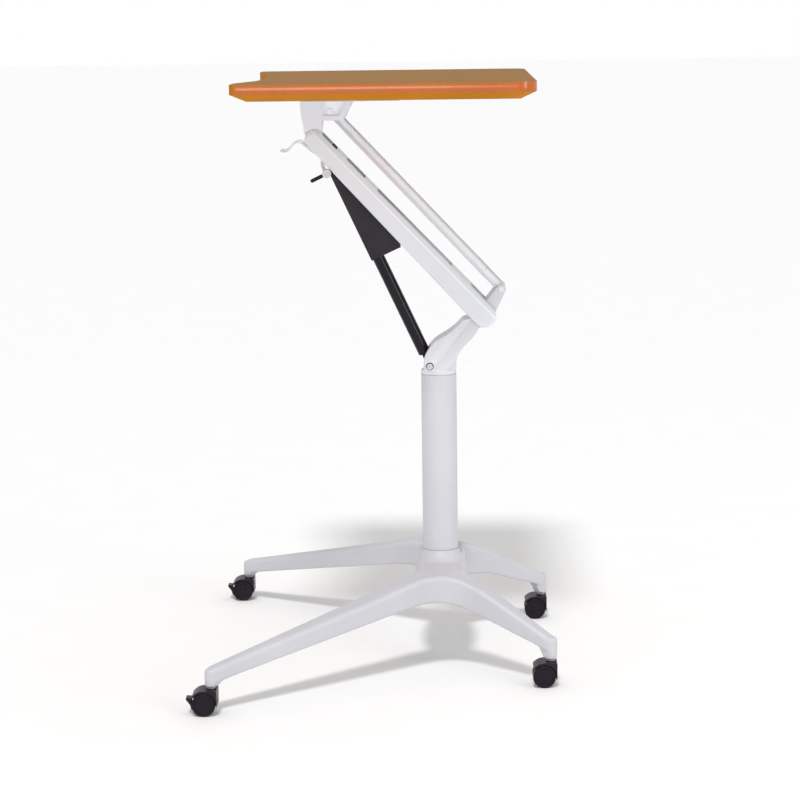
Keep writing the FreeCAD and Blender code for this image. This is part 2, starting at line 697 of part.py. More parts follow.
# Heights of the upper and lower outer edge of a front leg, hub side and back leg against Y
EDGE_TOP = [(-385.2, 79.3), (-80.0, 160.6), (-44.0, 173.6), (-27.0, 177.0), (-9.0, 178.0), (5.6, 177.3),
            (21.8, 175.4),
            (36.0, 170.5), (54.0, 162.4), (72.0, 153.4), (191.5, 83.5)]
EDGE_FOOT = [(-385.2, 53.3), (-80.0, 120.5), (-45.0, 128.2), (-27.0, 130.0), (-13.0, 130.2), (0.0, 129.3),
             (18.0, 126.6),
             (36.0, 121.2), (54.0, 114.2), (72.0, 106.8), (191.5, 60.5)]
FRONT_STATIONS = [0.0, 0.4, 0.72, 0.86, 0.94]
BACK_STATIONS = [0.7, 0.35, 0.0]
# Inner points of the bent beam where it crosses the hub, as (X, Y, top height)
HUB_SPINE = [
    (112.0, -36.0, 176.0),
    (108.0, -16.0, 177.5),
    (106.0, 3.0, 178.0),
    (106.0, 24.0, 177.0),
    (113.0, 47.0, 173.5),
]


def height(table, y):
    """Height at y by straight lines between the table's points."""
    for (y0, z0), (y1, z1) in zip(table, table[1:]):
        if y <= y1:
            return z0 + (z1 - z0) * (y - y0) / (y1 - y0)
    return table[-1][1]


def leg_edges(leg, share):
    """Inner and outer plan points of a leg at a share of its length from the tip."""
    tip = vec(leg["tip"][0], leg["tip"][1], 0)
    root = vec(leg["root"][0], leg["root"][1], 0)
    along = root - tip
    along.normalize()
    across = vec(along.y, -along.x, 0)
    if across.x < 0:
        across = -across
    centre = tip + (root - tip) * share
    half = leg["half"][0] + (leg["half"][1] - leg["half"][0]) * share
    return centre - across * half, centre + across * half


def side_arc():
    """Plan points of the hollow arc that joins the outer edges of the front and the back leg."""
    front_out = [leg_edges(FRONT_LEG, share)[1] for share in (0.0, 1.0)]
    back_out = [leg_edges(BACK_LEG, share)[1] for share in (0.0, 1.0)]
    d1 = front_out[0] - front_out[1]
    d2 = back_out[0] - back_out[1]
    d1.normalize()
    d2.normalize()
    gap = back_out[1] - front_out[1]
    reach = (gap.x * d2.y - gap.y * d2.x) / (d1.x * d2.y - d1.y * d2.x)
    corner = front_out[1] + d1 * reach
    half = math.acos(d1.dot(d2)) / 2
    middle = d1 + d2
    middle.normalize()
    centre = corner + middle * (SIDE_R / math.sin(half))
    start = math.atan2(-middle.y, -middle.x)
    sweep = math.pi / 2 - half
    points = []
    for share in (-0.9, -0.45, 0.0, 0.45, 0.9):
        turn = start - share * sweep
        points.append(centre + vec(math.cos(turn), math.sin(turn), 0) * SIDE_R)
    return points


def base_section(inner, outer, inset, inner_top=None):
    """Section between an inner and an outer plan point: flat foot and bevelled top corners."""
    across = outer - inner
    across.normalize()
    left = inner + across * inset
    right = outer - across * inset
    top = height(EDGE_TOP, outer.y) - inset
    foot = height(EDGE_FOOT, outer.y) - (40.0 if inset > 0 else 0.0)
    rise = top if inner_top is None else inner_top
    bevel = LEG_CHAMFER if inset == 0 else 1.0
    corners = [
        left + vec(0, 0, foot),
        right + vec(0, 0, foot),
        right + vec(0, 0, top - bevel),
        right - across * bevel + vec(0, 0, top),
        left + across * bevel + vec(0, 0, rise),
        left + vec(0, 0, rise - bevel),
    ]
    return Part.makePolygon(corners + [corners[0]])


def side_beam():
    """One side of the base: front leg, hub side and back leg as one bent beam."""
    sections = [base_section(*leg_edges(FRONT_LEG, share), 0.0) for share in FRONT_STATIONS]
    for (x, y, top), outer in zip(HUB_SPINE, side_arc()):
        sections.append(base_section(vec(x, y, 0), outer, 0.0, top))
    sections += [base_section(*leg_edges(BACK_LEG, share), 0.0) for share in BACK_STATIONS]
    return Part.makeLoft(sections, True, True)


def leg_hollow(leg, start):
    sections = []
    for share in (start, 0.9):
        inner, outer = leg_edges(leg, share)
        sections.append(base_section(inner, outer, LEG_WALL))
    return Part.makeLoft(sections, True, True)


def rounded_loop(half_x, half_y, shift_y, z, power):
    """Closed smooth plan curve between an ellipse (power 2) and a rounded rectangle (higher power)."""
    points = []
    for i in range(24):
        turn = 2 * math.pi * i / 24
        c, s = math.cos(turn), math.sin(turn)
        x = half_x * math.copysign(abs(c) ** (2 / power), c)
        y = half_y * math.copysign(abs(s) ** (2 / power), s)
        points.append(vec(x, y + shift_y, z))
    loop = Part.BSplineCurve()
    loop.interpolate(Points=points, PeriodicFlag=True)
    return Part.Wire([loop.toShape()])


def hub_boss():
    """Flared seat that rises from the hub to the column."""
    loops = [
        rounded_loop(112.0, 50.0, 3.0, 146.0, 3.0),
        rounded_loop(72.0, 43.0, 2.0, 166.0, 2.6),
        rounded_loop(43.0, 36.5, 1.0, 180.0, 2.2),
        rounded_loop(33.0, 33.0, 0.0, HUB_RISE, 2.0),
    ]
    return Part.makeLoft(loops, True, False)


def gusset(leg):
    """Small web under the leg where it turns down into the post."""
    tip = vec(leg["tip"][0], leg["tip"][1], 0)
    along = vec(leg["root"][0], leg["root"][1], 0) - tip
    along.normalize()
    across = vec(along.y, -along.x, 0) * (leg["half"][0] - 1.5)
    reach = POST_R + GUSSET_REACH
    under = height(EDGE_FOOT, leg["tip"][1] + along.y * reach)
    bottom = [(0.0, GUSSET_FOOT), (POST_R - 1.0, GUSSET_FOOT), (reach, under + 0.5)]
    corners = bottom + [(reach, under + 4.0), (0.0, under + 4.0)]
    wire = Part.makePolygon([tip + along * s - across + vec(0, 0, z) for s, z in corners + corners[:1]])
    return Part.Face(wire).extrude(across * 2)


def leg_base():
    hub = box(-125, 125, -38, 46, HUB_FOOT, HUB_TOP)
    hub = hub.makeChamfer(LEG_CHAMFER, [e for e in hub.Edges if min(v.Z for v in e.Vertexes) > HUB_TOP - 1])
    pocket = box(-96, 96, -33, 41, HUB_FOOT - 1, 162.0)
    boss = rod_z(0, 0, TUBE_R + 5, HUB_FOOT + 2, 175.0)
    beam = side_beam()
    pieces = [join([hub, hub_boss()]).cut(pocket), boss, beam, mirrored(beam)]
    hollows = []
    bores = []
    for leg in (FRONT_LEG, BACK_LEG):
        tip = leg["tip"]
        post = rod_z(tip[0], tip[1], POST_R, POST_FOOT, leg["top"] - 1.5)
        post = post.makeFillet(3.0, [e for e in post.Edges if e.Closed and e.Vertexes[0].Z > POST_FOOT + 1])
        hollow = leg_hollow(leg, 0.08)
        bore = rod_z(tip[0], tip[1], STEM_R + RUN, POST_FOOT - 1, POST_FOOT + 18)
        web = gusset(leg)
        pieces += [post, mirrored(post), web, mirrored(web)]
        hollows += [hollow, mirrored(hollow)]
        bores += [bore, mirrored(bore)]
    whole = join(pieces)
    for tool in hollows + bores:
        whole = whole.cut(tool)
    whole = whole.cut(rod_z(0, 0, TUBE_R + RUN, TUBE_FOOT, HUB_RISE + 9))
    return whole.cut(rod_z(0, 0, TIE_R + RUN, HUB_FOOT - 5, HUB_RISE))


TIE_R = 6.0


def tie_washer():
    foot = HUB_FOOT - 1.0
    return rod_z(0, 0, 20.0, foot, HUB_FOOT + 2).cut(rod_z(0, 0, TIE_R + RUN, foot - 1, HUB_FOOT + 4))


def tie_bolt():
    foot = HUB_FOOT - 1.0
    corners = []
    for i in range(6):
        turn = math.radians(60 * i)
        corners.append((10.5 * math.cos(turn), 10.5 * math.sin(turn)))
    head = prism_xy(corners, foot - 7, foot)
    shank = rod_z(0, 0, TIE_R, foot - 1, 150.0)
    return join([head, shank])


def column_plug():
    plug = rod_z(0, 0, TUBE_BORE_R - RUN, TUBE_FOOT, 152.0)
    return plug.cut(rod_z(0, 0, TIE_R + RUN, TUBE_FOOT - 1, 150.0))


# ---------------------------------------------------------------- casters, drawn around the stem


def sector(r_in, r_out, a0, a1, x0, x1):
    """Part of a ring around the wheel axle, between two angles from +Y toward +Z."""
    centre = (-WHEEL_TRAIL, WHEEL_R)
    mid = (a0 + a1) / 2

    def at(r, degrees):
        turn = math.radians(degrees)
        return vec(x0, centre[0] + r * math.cos(turn), centre[1] + r * math.sin(turn))

    edges = [
        Part.Arc(at(r_out, a0), at(r_out, mid), at(r_out, a1)).toShape(),
        Part.makeLine(at(r_out, a1), at(r_in, a1)),
        Part.Arc(at(r_in, a1), at(r_in, mid), at(r_in, a0)).toShape(),
        Part.makeLine(at(r_in, a0), at(r_out, a0)),
    ]
    return Part.Face(Part.Wire(edges)).extrude(vec(x1 - x0, 0, 0))


HOUSING_HALF_X = 20.3
HOOD_START = -14.0
HOOD_END = 142.0
WEB_HALF_X = 4.6
PEDAL_SLOT_X = 1.9


def caster_stem():
    shank = rod_z(0, 0, STEM_R, 30.0, POST_FOOT + 16)
    flange = rod_z(0, 0, 7.5, 45.6, POST_FOOT - 0.4)
    return join([shank, flange])


def hood(end):
    """Shell over the wheels: an arc forward to the end angle, squared off behind the stem."""
    centre = (-WHEEL_TRAIL, WHEEL_R)
    top = WHEEL_R + HOOD_R
    bend = HOOD_CORNER * (1 - math.sqrt(0.5))
    mid = (end + 90.0) / 2

    def at(r, degrees):
        turn = math.radians(degrees)
        return vec(-HOUSING_HALF_X, centre[0] + r * math.cos(turn), centre[1] + r * math.sin(turn))

    back_foot = vec(-HOUSING_HALF_X, HOOD_BACK_Y, HOOD_FOOT_Z)
    back_top = vec(-HOUSING_HALF_X, HOOD_BACK_Y, top - HOOD_CORNER)
    corner = vec(-HOUSING_HALF_X, HOOD_BACK_Y - bend, top - bend)
    top_back = vec(-HOUSING_HALF_X, HOOD_BACK_Y - HOOD_CORNER, top)
    edges = [
        Part.makeLine(at(HOOD_INNER_R, HOOD_START), back_foot),
        Part.makeLine(back_foot, back_top),
        Part.Arc(back_top, corner, top_back).toShape(),
        Part.makeLine(top_back, at(HOOD_R, 90.0)),
        Part.Arc(at(HOOD_R, 90.0), at(HOOD_R, mid), at(HOOD_R, end)).toShape(),
        Part.makeLine(at(HOOD_R, end), at(HOOD_INNER_R, end)),
        Part.Arc(at(HOOD_INNER_R, end), at(HOOD_INNER_R, 60.0), at(HOOD_INNER_R, HOOD_START)).toShape(),
    ]
    return Part.Face(Part.Wire(edges)).extrude(vec(2 * HOUSING_HALF_X, 0, 0))


def caster_housing(braked):
    web = sector(5.5, HOOD_INNER_R + 1, HOOD_START, 150.0, -WEB_HALF_X, WEB_HALF_X)
    hub = rod_x(-WHEEL_TRAIL, WHEEL_R, 6.0, -WEB_HALF_X, WEB_HALF_X)
    crown = rod_z(0, 0, 9.5, 36.0, 45.6)
    whole = join([hood(HOOD_END), web, hub, crown])
    whole = whole.cut(rod_z(0, 0, STEM_R + RUN, 30.0, 60))
    whole = whole.cut(rod_x(-WHEEL_TRAIL, WHEEL_R, AXLE_R + RUN, -30, 30))
    clear = rod_x(-WHEEL_TRAIL, WHEEL_R, WHEEL_R + 0.6, WHEEL_INNER_X - 0.4, 40)
    whole = whole.cut(clear).cut(mirrored(clear))
    if braked:
        whole = whole.cut(box(-PEDAL_SLOT_X, PEDAL_SLOT_X, -60, -WHEEL_TRAIL + 6.5, 8, 34))
        whole = whole.cut(sector(15.0, 40.0, HOOD_END, 180.0, -40, 40))
    return whole


def caster_axle():
    return rod_x(-WHEEL_TRAIL, WHEEL_R, AXLE_R, -WHEEL_OUTER_X + 1, WHEEL_OUTER_X - 1)


def caster_wheels():
    """Two wheels: tread with rounded corners and a dished outer face."""
    tread = rod_x(-WHEEL_TRAIL, WHEEL_R, WHEEL_R, WHEEL_INNER_X, WHEEL_OUTER_X)
    tread = tread.makeFillet(1.6, [e for e in tread.Edges if e.Closed])
    dish = rod_x(-WHEEL_TRAIL, WHEEL_R, 15.5, WHEEL_OUTER_X - 2.0, WHEEL_OUTER_X + 1)
    cap = rod_x(-WHEEL_TRAIL, WHEEL_R, 5.0, WHEEL_OUTER_X - 3.0, WHEEL_OUTER_X - 0.6)
    wheel = join([tread.cut(dish), cap])
    bore = rod_x(-WHEEL_TRAIL, WHEEL_R, AXLE_R + RUN, 0, WHEEL_OUTER_X - 0.9)
    return both(wheel.cut(bore))


PEDAL_HALF_X = 9.0
PEDAL_SIDE = [(-42.2, 30.0), (-42.2, 27.0), (-30.5, 11.5), (-28.0, 11.5), (-28.0, 31.0), (-33.0, 29.6)]


def brake_pedal():
    """Toe plate on a shield ahead of the wheels, with a tongue to a ring on the axle."""
    shield = sector(HOOD_INNER_R, HOOD_R - 1.2, HOOD_END + 4.0, 208.0, -PEDAL_HALF_X, PEDAL_HALF_X)
    toe = prism_yz(PEDAL_SIDE, -PEDAL_HALF_X, PEDAL_HALF_X)
    toe = toe.cut(rod_x(-WHEEL_TRAIL, WHEEL_R, HOOD_INNER_R, -20, 20))
    tongue = box(-1.5, 1.5, -WHEEL_TRAIL - HOOD_INNER_R - 0.6, -WHEEL_TRAIL, 16.5, 23.5)
    ring = rod_x(-WHEEL_TRAIL, WHEEL_R, 5.2, -1.5, 1.5)
    whole = join([shield, toe, tongue, ring])
    return whole.cut(rod_x(-WHEEL_TRAIL, WHEEL_R, AXLE_R + RUN, -30, 30))


def at_post(shape, x, y):
    placed = shape.copy()
    placed.translate(vec(x, y, 0))
    return placed


def save_caster(tag, x, y, braked):
    save("caster_stem_" + tag, at_post(caster_stem(), x, y))
    save("caster_housing_" + tag, at_post(caster_housing(braked), x, y))
    save("caster_axle_" + tag, at_post(caster_axle(), x, y))
    save("caster_wheels_" + tag, at_post(caster_wheels(), x, y))
    if braked:
        save("brake_pedal_" + tag, at_post(brake_pedal(), x, y))


save("tabletop", tabletop())
save("mounting_plate", mounting_plate())
save("plate_screws", plate_screws())
save("table_bracket", table_bracket())
save("bracket_screws", bracket_screws())
save("link_pin_upper", link_pin(PIVOT_D, PANEL_X))
save("arm_channel", arm_channel())
save("pivot_pin_upper", pivot_pin(PIVOT_C, PIN_R, PIN_HOLE_X - 0.2))
save("pivot_pin_lower", pivot_pin(PIVOT_A, PIN_R, PIN_HOLE_X - 0.2))
save("pivot_washers_upper", pivot_washers(PIVOT_C, 11.0, PIN_R + RUN, HEAD_HALF_X + 0.2, ARM_INNER_X))
save("pivot_washers_lower", pivot_washers(PIVOT_A, 12.0, PIN_R + RUN, HEAD_HALF_X, ARM_INNER_X - 0.2))
save("bump_stop", bump_stop())
save("link_channel", link_channel())
save("link_pin_lower", link_pin(PIVOT_B, HEAD_HALF_X))
save("link_washers_upper", pivot_washers(PIVOT_D, 6.0, LINK_PIN_R + RUN, LINK_END_X + 0.3, WEB_INNER_X))
save("gas_cylinder", gas_cylinder())
save("cylinder_eye", cylinder_eye())
save("piston_rod", piston_rod())
save("rod_eye", rod_eye())
save("rod_pin", rod_pin())
save("shroud", shroud())
save("spring_bolt", spring_bolt())
save("spring_bolt_washers", spring_bolt_washers())
save("spring_bolt_nut", spring_bolt_nut())
save("release_lever", release_lever())
save("lever_pin", lever_pin())
save("handle_bracket", handle_bracket())
save("handle_pin", handle_pin())
save("handle_boss", handle_boss())
save("stick_handle", stick_handle())
save("column_head", column_head())
save("column_collar", column_collar())
save("column_tube", column_tube())
save("column_foot_ring", column_foot_ring())
save("column_plug", column_plug())
save("leg_base", leg_base())
save("tie_washer", tie_washer())
save("tie_bolt", tie_bolt())
save_caster("front_right", FRONT_POST[0], FRONT_POST[1], True)
save_caster("front_left", -FRONT_POST[0], FRONT_POST[1], True)
save_caster("back_right", BACK_POST[0], BACK_POST[1], False)
save_caster("back_left", -BACK_POST[0], BACK_POST[1], False)
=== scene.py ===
import bpy, bmesh, json, math
from mathutils import Matrix, Vector


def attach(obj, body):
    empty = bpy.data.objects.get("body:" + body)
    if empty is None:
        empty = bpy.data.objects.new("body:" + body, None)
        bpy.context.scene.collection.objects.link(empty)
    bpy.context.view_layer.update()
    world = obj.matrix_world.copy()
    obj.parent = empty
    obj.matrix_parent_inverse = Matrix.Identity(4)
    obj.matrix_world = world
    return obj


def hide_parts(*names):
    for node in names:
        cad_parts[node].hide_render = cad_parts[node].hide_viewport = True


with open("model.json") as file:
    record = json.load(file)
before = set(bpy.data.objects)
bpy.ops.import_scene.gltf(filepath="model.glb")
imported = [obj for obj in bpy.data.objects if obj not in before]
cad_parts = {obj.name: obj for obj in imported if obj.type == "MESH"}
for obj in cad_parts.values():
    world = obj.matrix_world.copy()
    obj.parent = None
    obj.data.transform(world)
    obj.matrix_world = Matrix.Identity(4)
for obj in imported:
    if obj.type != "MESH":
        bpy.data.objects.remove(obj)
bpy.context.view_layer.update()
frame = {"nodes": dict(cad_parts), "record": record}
record = frame["record"]
bodies = record["behaviour"]["bodies"]
BODY_OF = {node: body for body, nodes in bodies.items() for node in nodes}
SLOT_OF = {s["node"]: s["material_slot"] for s in record["subparts"]}
JOINT_AT = {j["name"]: Vector(j["pos_m"]) for j in record["behaviour"]["joints"]}

# Pivots of the parallelogram: arm foot, link foot, arm head, link head
PIVOT_A = JOINT_AT["arm_lift"]
PIVOT_B = JOINT_AT["link_swing"]
PIVOT_C = JOINT_AT["table_level"]
PIVOT_D = PIVOT_B + PIVOT_C - PIVOT_A
ARM_UP = Vector((0, PIVOT_C.z - PIVOT_A.z, PIVOT_A.y - PIVOT_C.y)).normalized()

# The raised field on the arm's side: how far its upper edge lies above the pivots. Along that edge the
# colour gets a painted highlight, with painted shade outside it.
FIELD_AT_FOOT = 0.0112
FIELD_AT_HEAD = 0.0068
FIELD_REACH = 0.006
FIELD_LIGHT_AND_SHADE_TONES = ((0.0, 0.96), (0.36, 0.96), (0.46, 1.16), (0.54, 1.16), (0.62, 0.95), (1.0, 0.88))

# The ridge on the column head's side, from the collar up to the arm: painted shade along it, with a painted
# highlight beside it.
RIDGE_FOOT = Vector((0, PIVOT_A.y - 0.0927, 0.524))
RIDGE_HEAD = Vector((0, PIVOT_A.y - 0.0396, 0.5944))
RIDGE_REACH = 0.020
RIDGE_LIGHT_AND_SHADE_TONES = ((0.0, 0.99), (0.40, 0.93), (0.50, 0.90), (0.56, 1.03), (0.80, 1.02), (1.0, 0.96))

# The rolled side of the upper link
LINK_REACH = 0.0078
LINK_PROFILE = ((0.0, 0.6), (0.08, 1.0), (0.52, 1.0), (0.84, 0.1), (0.9, 0.8), (1.0, 1.0))
LINK_DEPTH = -0.003

# The barrel shape of the top's edge band
BAND_MIDDLE_Z = 1.039
BAND_CROWN = 9.0

# The recessed field on the outer faces of the table bracket, painted lighter than the rest of the bracket: a
# painted highlight.
PANEL_X = 0.031
PANEL_SLACK = 0.0004

WALLS = 1.0
CEILING = 0.6


# ------------------------------------------------------------------ material parts

def new_material(name):
    material = bpy.data.materials.new(name)
    material.use_nodes = True
    tree = material.node_tree
    return material, tree, tree.nodes["Principled BSDF"]


def coords(tree, scale):
    place = tree.nodes.new("ShaderNodeTexCoord")
    stretch = tree.nodes.new("ShaderNodeMapping")
    stretch.inputs["Scale"].default_value = scale
    tree.links.new(place.outputs["Object"], stretch.inputs["Vector"])
    return stretch.outputs["Vector"]


def noise(tree, scale, detail, stretch=(1, 1, 1)):
    node = tree.nodes.new("ShaderNodeTexNoise")
    node.inputs["Scale"].default_value = scale
    node.inputs["Detail"].default_value = detail
    tree.links.new(coords(tree, stretch), node.inputs["Vector"])
    return node.outputs["Fac"]


def ramp(tree, value, low, high, at=(0.35, 0.65)):
    node = tree.nodes.new("ShaderNodeValToRGB")
    node.color_ramp.elements[0].position = at[0]
    node.color_ramp.elements[0].color = (*low, 1)
    node.color_ramp.elements[1].position = at[1]
    node.color_ramp.elements[1].color = (*high, 1)
    tree.links.new(value, node.inputs["Fac"])
    return node.outputs["Color"]


def grey_stops(tree, value, points):
    """A grey ramp through (place, tone) points."""
    node = tree.nodes.new("ShaderNodeValToRGB")
    stops = node.color_ramp.elements
    while len(stops) < len(points):
        stops.new(0.5)
    for stop, (place, tone) in zip(stops, points):
        stop.position = place
        stop.color = (tone, tone, tone, 1)
    tree.links.new(value, node.inputs["Fac"])
    return node


def multiplied(tree, first, second, share):
    mix = tree.nodes.new("ShaderNodeMix")
    mix.data_type = "RGBA"
    mix.blend_type = "MULTIPLY"
    mix.inputs["Factor"].default_value = share
    tree.links.new(first, mix.inputs["A"])
    tree.links.new(second, mix.inputs["B"])
    return mix.outputs["Result"]


def bump(tree, shader, value, strength, distance):
    node = tree.nodes.new("ShaderNodeBump")
    node.inputs["Strength"].default_value = strength
    node.inputs["Distance"].default_value = distance
    tree.links.new(value, node.inputs["Height"])
    tree.links.new(node.outputs["Normal"], shader.inputs["Normal"])


def across(tree, start, end, half):
    """Distance to the line from start to end in the plane the arm moves in: 0 at -half, 1 at +half."""
    along = (end - start).normalized()
    place = tree.nodes.new("ShaderNodeTexCoord")
    offset = tree.nodes.new("ShaderNodeVectorMath")
    offset.operation = "SUBTRACT"
    offset.inputs[1].default_value = start
    tree.links.new(place.outputs["Object"], offset.inputs[0])
    project = tree.nodes.new("ShaderNodeVectorMath")
    project.operation = "DOT_PRODUCT"
    project.inputs[1].default_value = (0, -along.z, along.y)
    tree.links.new(offset.outputs["Vector"], project.inputs[0])
    span = tree.nodes.new("ShaderNodeMapRange")
    span.inputs["From Min"].default_value = -half
    span.inputs["From Max"].default_value = half
    tree.links.new(project.outputs["Value"], span.inputs["Value"])
    return span.outputs["Result"]


def crown(material, middle, rise):
    """Adds a shallow barrel shape across a level band: highest along its middle height."""
    tree = material.node_tree
    place = tree.nodes.new("ShaderNodeTexCoord")
    split = tree.nodes.new("ShaderNodeSeparateXYZ")
    tree.links.new(place.outputs["Object"], split.inputs["Vector"])
    offset = tree.nodes.new("ShaderNodeMath")
    offset.operation = "SUBTRACT"
    offset.inputs[1].default_value = middle
    tree.links.new(split.outputs["Z"], offset.inputs[0])
    square = tree.nodes.new("ShaderNodeMath")
    square.operation = "MULTIPLY"
    tree.links.new(offset.outputs["Value"], square.inputs[0])
    tree.links.new(offset.outputs["Value"], square.inputs[1])
    height = tree.nodes.new("ShaderNodeMath")
    height.operation = "MULTIPLY"
    height.inputs[1].default_value = -rise
    tree.links.new(square.outputs["Value"], height.inputs[0])
    bump(tree, tree.nodes["Principled BSDF"], height.outputs["Value"], 1.0, 1.0)


def rolled(material, start, end, half, profile, depth):
    """Presses a rolled profile of (place across, height) points into a long flat face."""
    tree = material.node_tree
    curve = grey_stops(tree, across(tree, start, end, half), profile)
    curve.color_ramp.interpolation = "EASE"
    bump(tree, tree.nodes["Principled BSDF"], curve.outputs["Color"], 1.0, depth)


def painted_light_strip(material, start, end, half, tones):
    """Paints light and shade into a strip along a line: (place across, brightness) points multiply the
    colour, giving painted highlights and painted shade.
    """
    tree = material.node_tree
    shader = tree.nodes["Principled BSDF"]
    paint = shader.inputs["Base Color"].links[0].from_socket
    shade = grey_stops(tree, across(tree, start, end, half), tones)
    tree.links.new(multiplied(tree, paint, shade.outputs["Color"], 1.0), shader.inputs["Base Color"])


def surface(name, low, high, rough, metallic=0.0, grain=900.0, height=0.00008, stretch=(1, 1, 1), shine=0.5):
    """A finish whose colour, roughness and fine relief vary a little over the surface."""
    material, tree, shader = new_material(name)
    broad = noise(tree, 9.0, 3.0)
    fine = noise(tree, grain, 2.0, stretch)
    tree.links.new(ramp(tree, broad, low, high), shader.inputs["Base Color"])
    span = tree.nodes.new("ShaderNodeMapRange")
    span.inputs["To Min"].default_value = max(0.02, rough - 0.06)
    span.inputs["To Max"].default_value = rough + 0.06
    tree.links.new(fine, span.inputs["Value"])
    tree.links.new(span.outputs["Result"], shader.inputs["Roughness"])
    shader.inputs["Metallic"].default_value = metallic
    shader.inputs["Specular IOR Level"].default_value = shine
    bump(tree, shader, fine, 0.35, height)
    return material


def painted(name, low, high, rough, **more):
    """White powder paint or enamel, less shiny than bare plastic."""
    return surface(name, low, high, rough, **{"grain": 900, "shine": 0.3, **more})


def edging(name, low, high, rough, shine):
    """Plastic edging, drawn lengthwise, so that its grain runs level."""
    return surface(name, low, high, rough, grain=400, stretch=(0.2, 0.2, 3), shine=shine)


def laminate(dark=(0.268, 0.134, 0.030), light=(0.306, 0.158, 0.038)):
    """Fine brown laminate, its grain running from side to side."""
    material, tree, shader = new_material("top_face")
    grain = noise(tree, 18.0, 8.0, (0.6, 14.0, 1.0))
    fleck = noise(tree, 260.0, 3.0, (0.25, 1.0, 1.0))
    ground = ramp(tree, grain, dark, light, (0.3, 0.7))
    fleck_tone = ramp(tree, fleck, (0.82, 0.80, 0.78), (1, 1, 1), (0.4, 0.6))
    tree.links.new(multiplied(tree, ground, fleck_tone, 0.35), shader.inputs["Base Color"])
    shader.inputs["Roughness"].default_value = 0.7
    shader.inputs["Specular IOR Level"].default_value = 0.12
    bump(tree, shader, fleck, 0.25, 0.0001)
    return material


# ------------------------------------------------------------------ finishes

MATERIALS = {
    "top_laminate": laminate(),
    "white_casting": painted("white_casting", (0.484, 0.482, 0.515), (0.510, 0.508, 0.541), 0.42, grain=700),
    "white_steel": painted("white_steel", (0.520, 0.520, 0.552), (0.546, 0.546, 0.578), 0.40, grain=1100),
    "black_steel": surface("black_steel", (0.008, 0.005, 0.010), (0.011, 0.008, 0.013), 0.13, shine=0.22),
    "chrome": surface("chrome", (0.34, 0.34, 0.36), (0.44, 0.44, 0.46), 0.16, metallic=1.0, grain=500),
    "zinc": surface("zinc", (0.45, 0.45, 0.46), (0.58, 0.58, 0.59), 0.32, metallic=1.0, grain=1400),
    "nylon": surface("nylon", (0.55, 0.55, 0.53), (0.6, 0.6, 0.58), 0.5),
    "grey_plastic": surface("grey_plastic", (0.22, 0.22, 0.23), (0.27, 0.27, 0.28), 0.45),
    "black_plastic": surface(
        "black_plastic", (0.010, 0.007, 0.012), (0.016, 0.012, 0.018), 0.38, grain=1500, shine=0.2
    ),
    "black_rubber": surface("black_rubber", (0.012, 0.012, 0.013), (0.02, 0.02, 0.021), 0.6),
}

# Lighter copies of the same white paint as the legs and column: painted light, so the upper parts and the
# head read brighter though the tabletop shades them
PAINTED_LIGHT_WHITE = painted("white_painted_light", (0.725, 0.742, 0.800), (0.755, 0.772, 0.830), 0.30, shine=0.45)
ARM_PAINTED_LIGHT = painted("white_arm_painted_light", (0.715, 0.735, 0.785), (0.745, 0.765, 0.815), 0.30, shine=0.45)
HEAD_PAINTED_LIGHT = painted("white_head_painted_light", (0.620, 0.620, 0.655), (0.650, 0.650, 0.685), 0.36, grain=700, shine=0.4)
LINK_PAINTED_LIGHT = painted("white_link_painted_light", (0.74, 0.755, 0.80), (0.77, 0.785, 0.83), 0.34, shine=0.4)
PANEL_PAINTED_LIGHT = painted("white_panel_painted_light", (0.96, 0.96, 0.98), (0.98, 0.98, 1.0), 0.45)

UNDER_BEVEL = surface(
    "under_bevel", (0.47, 0.170, 0.003), (0.53, 0.195, 0.005), 0.5, grain=400, shine=0.05
)
# The front-facing edging is a darker, duller copy of the edge band: painted shade.
FRONT_BAND_SHADED = edging("front_band_painted_shade", (0.36, 0.135, 0.010), (0.41, 0.155, 0.013), 0.6, 0.05)
EDGE_BAND = edging("edge_band", (0.40, 0.088, 0.002), (0.45, 0.104, 0.004), 0.16, 0.5)
TREAD = surface("tread", (0.009, 0.006, 0.011), (0.014, 0.010, 0.016), 0.42, grain=1300, shine=0.15)
SHROUD = surface(
    "shroud_plastic", (0.018, 0.014, 0.021), (0.024, 0.019, 0.027), 0.45, grain=1600, shine=0.25
)

crown(EDGE_BAND, BAND_MIDDLE_Z, BAND_CROWN)
rolled(LINK_PAINTED_LIGHT, PIVOT_B, PIVOT_D, LINK_REACH, LINK_PROFILE, LINK_DEPTH)
# Painted light and shade along the arm's field edge and beside the head's ridge.
painted_light_strip(ARM_PAINTED_LIGHT, PIVOT_C + FIELD_AT_HEAD * ARM_UP, PIVOT_A + FIELD_AT_FOOT * ARM_UP, FIELD_REACH, FIELD_LIGHT_AND_SHADE_TONES)
painted_light_strip(HEAD_PAINTED_LIGHT, RIDGE_FOOT, RIDGE_HEAD, RIDGE_REACH, RIDGE_LIGHT_AND_SHADE_TONES)

OWN_FINISH = {
    "arm_channel": ARM_PAINTED_LIGHT,
    "table_bracket": PAINTED_LIGHT_WHITE,
    "handle_boss": HEAD_PAINTED_LIGHT,
    "handle_pin": HEAD_PAINTED_LIGHT,
    "link_pin_lower": PAINTED_LIGHT_WHITE,
    "link_channel": LINK_PAINTED_LIGHT,
    "column_head": HEAD_PAINTED_LIGHT,
}


def finish_of(name):
    return OWN_FINISH.get(name, MATERIALS[SLOT_OF[name]])


# ------------------------------------------------------------------ pieces

def redrawn(name, node, mesh):
    """A new object with the finish of a CAD node, for a mesh that takes its place."""
    obj = bpy.data.objects.new(name, mesh)
    bpy.context.scene.collection.objects.link(obj)
    mesh.materials.clear()
    mesh.materials.append(finish_of(node))
    return obj


def smooth_shaded(mesh, sharp_degrees):
    for polygon in mesh.polygons:
        polygon.use_smooth = True
    mesh.set_sharp_from_angle(angle=math.radians(sharp_degrees))


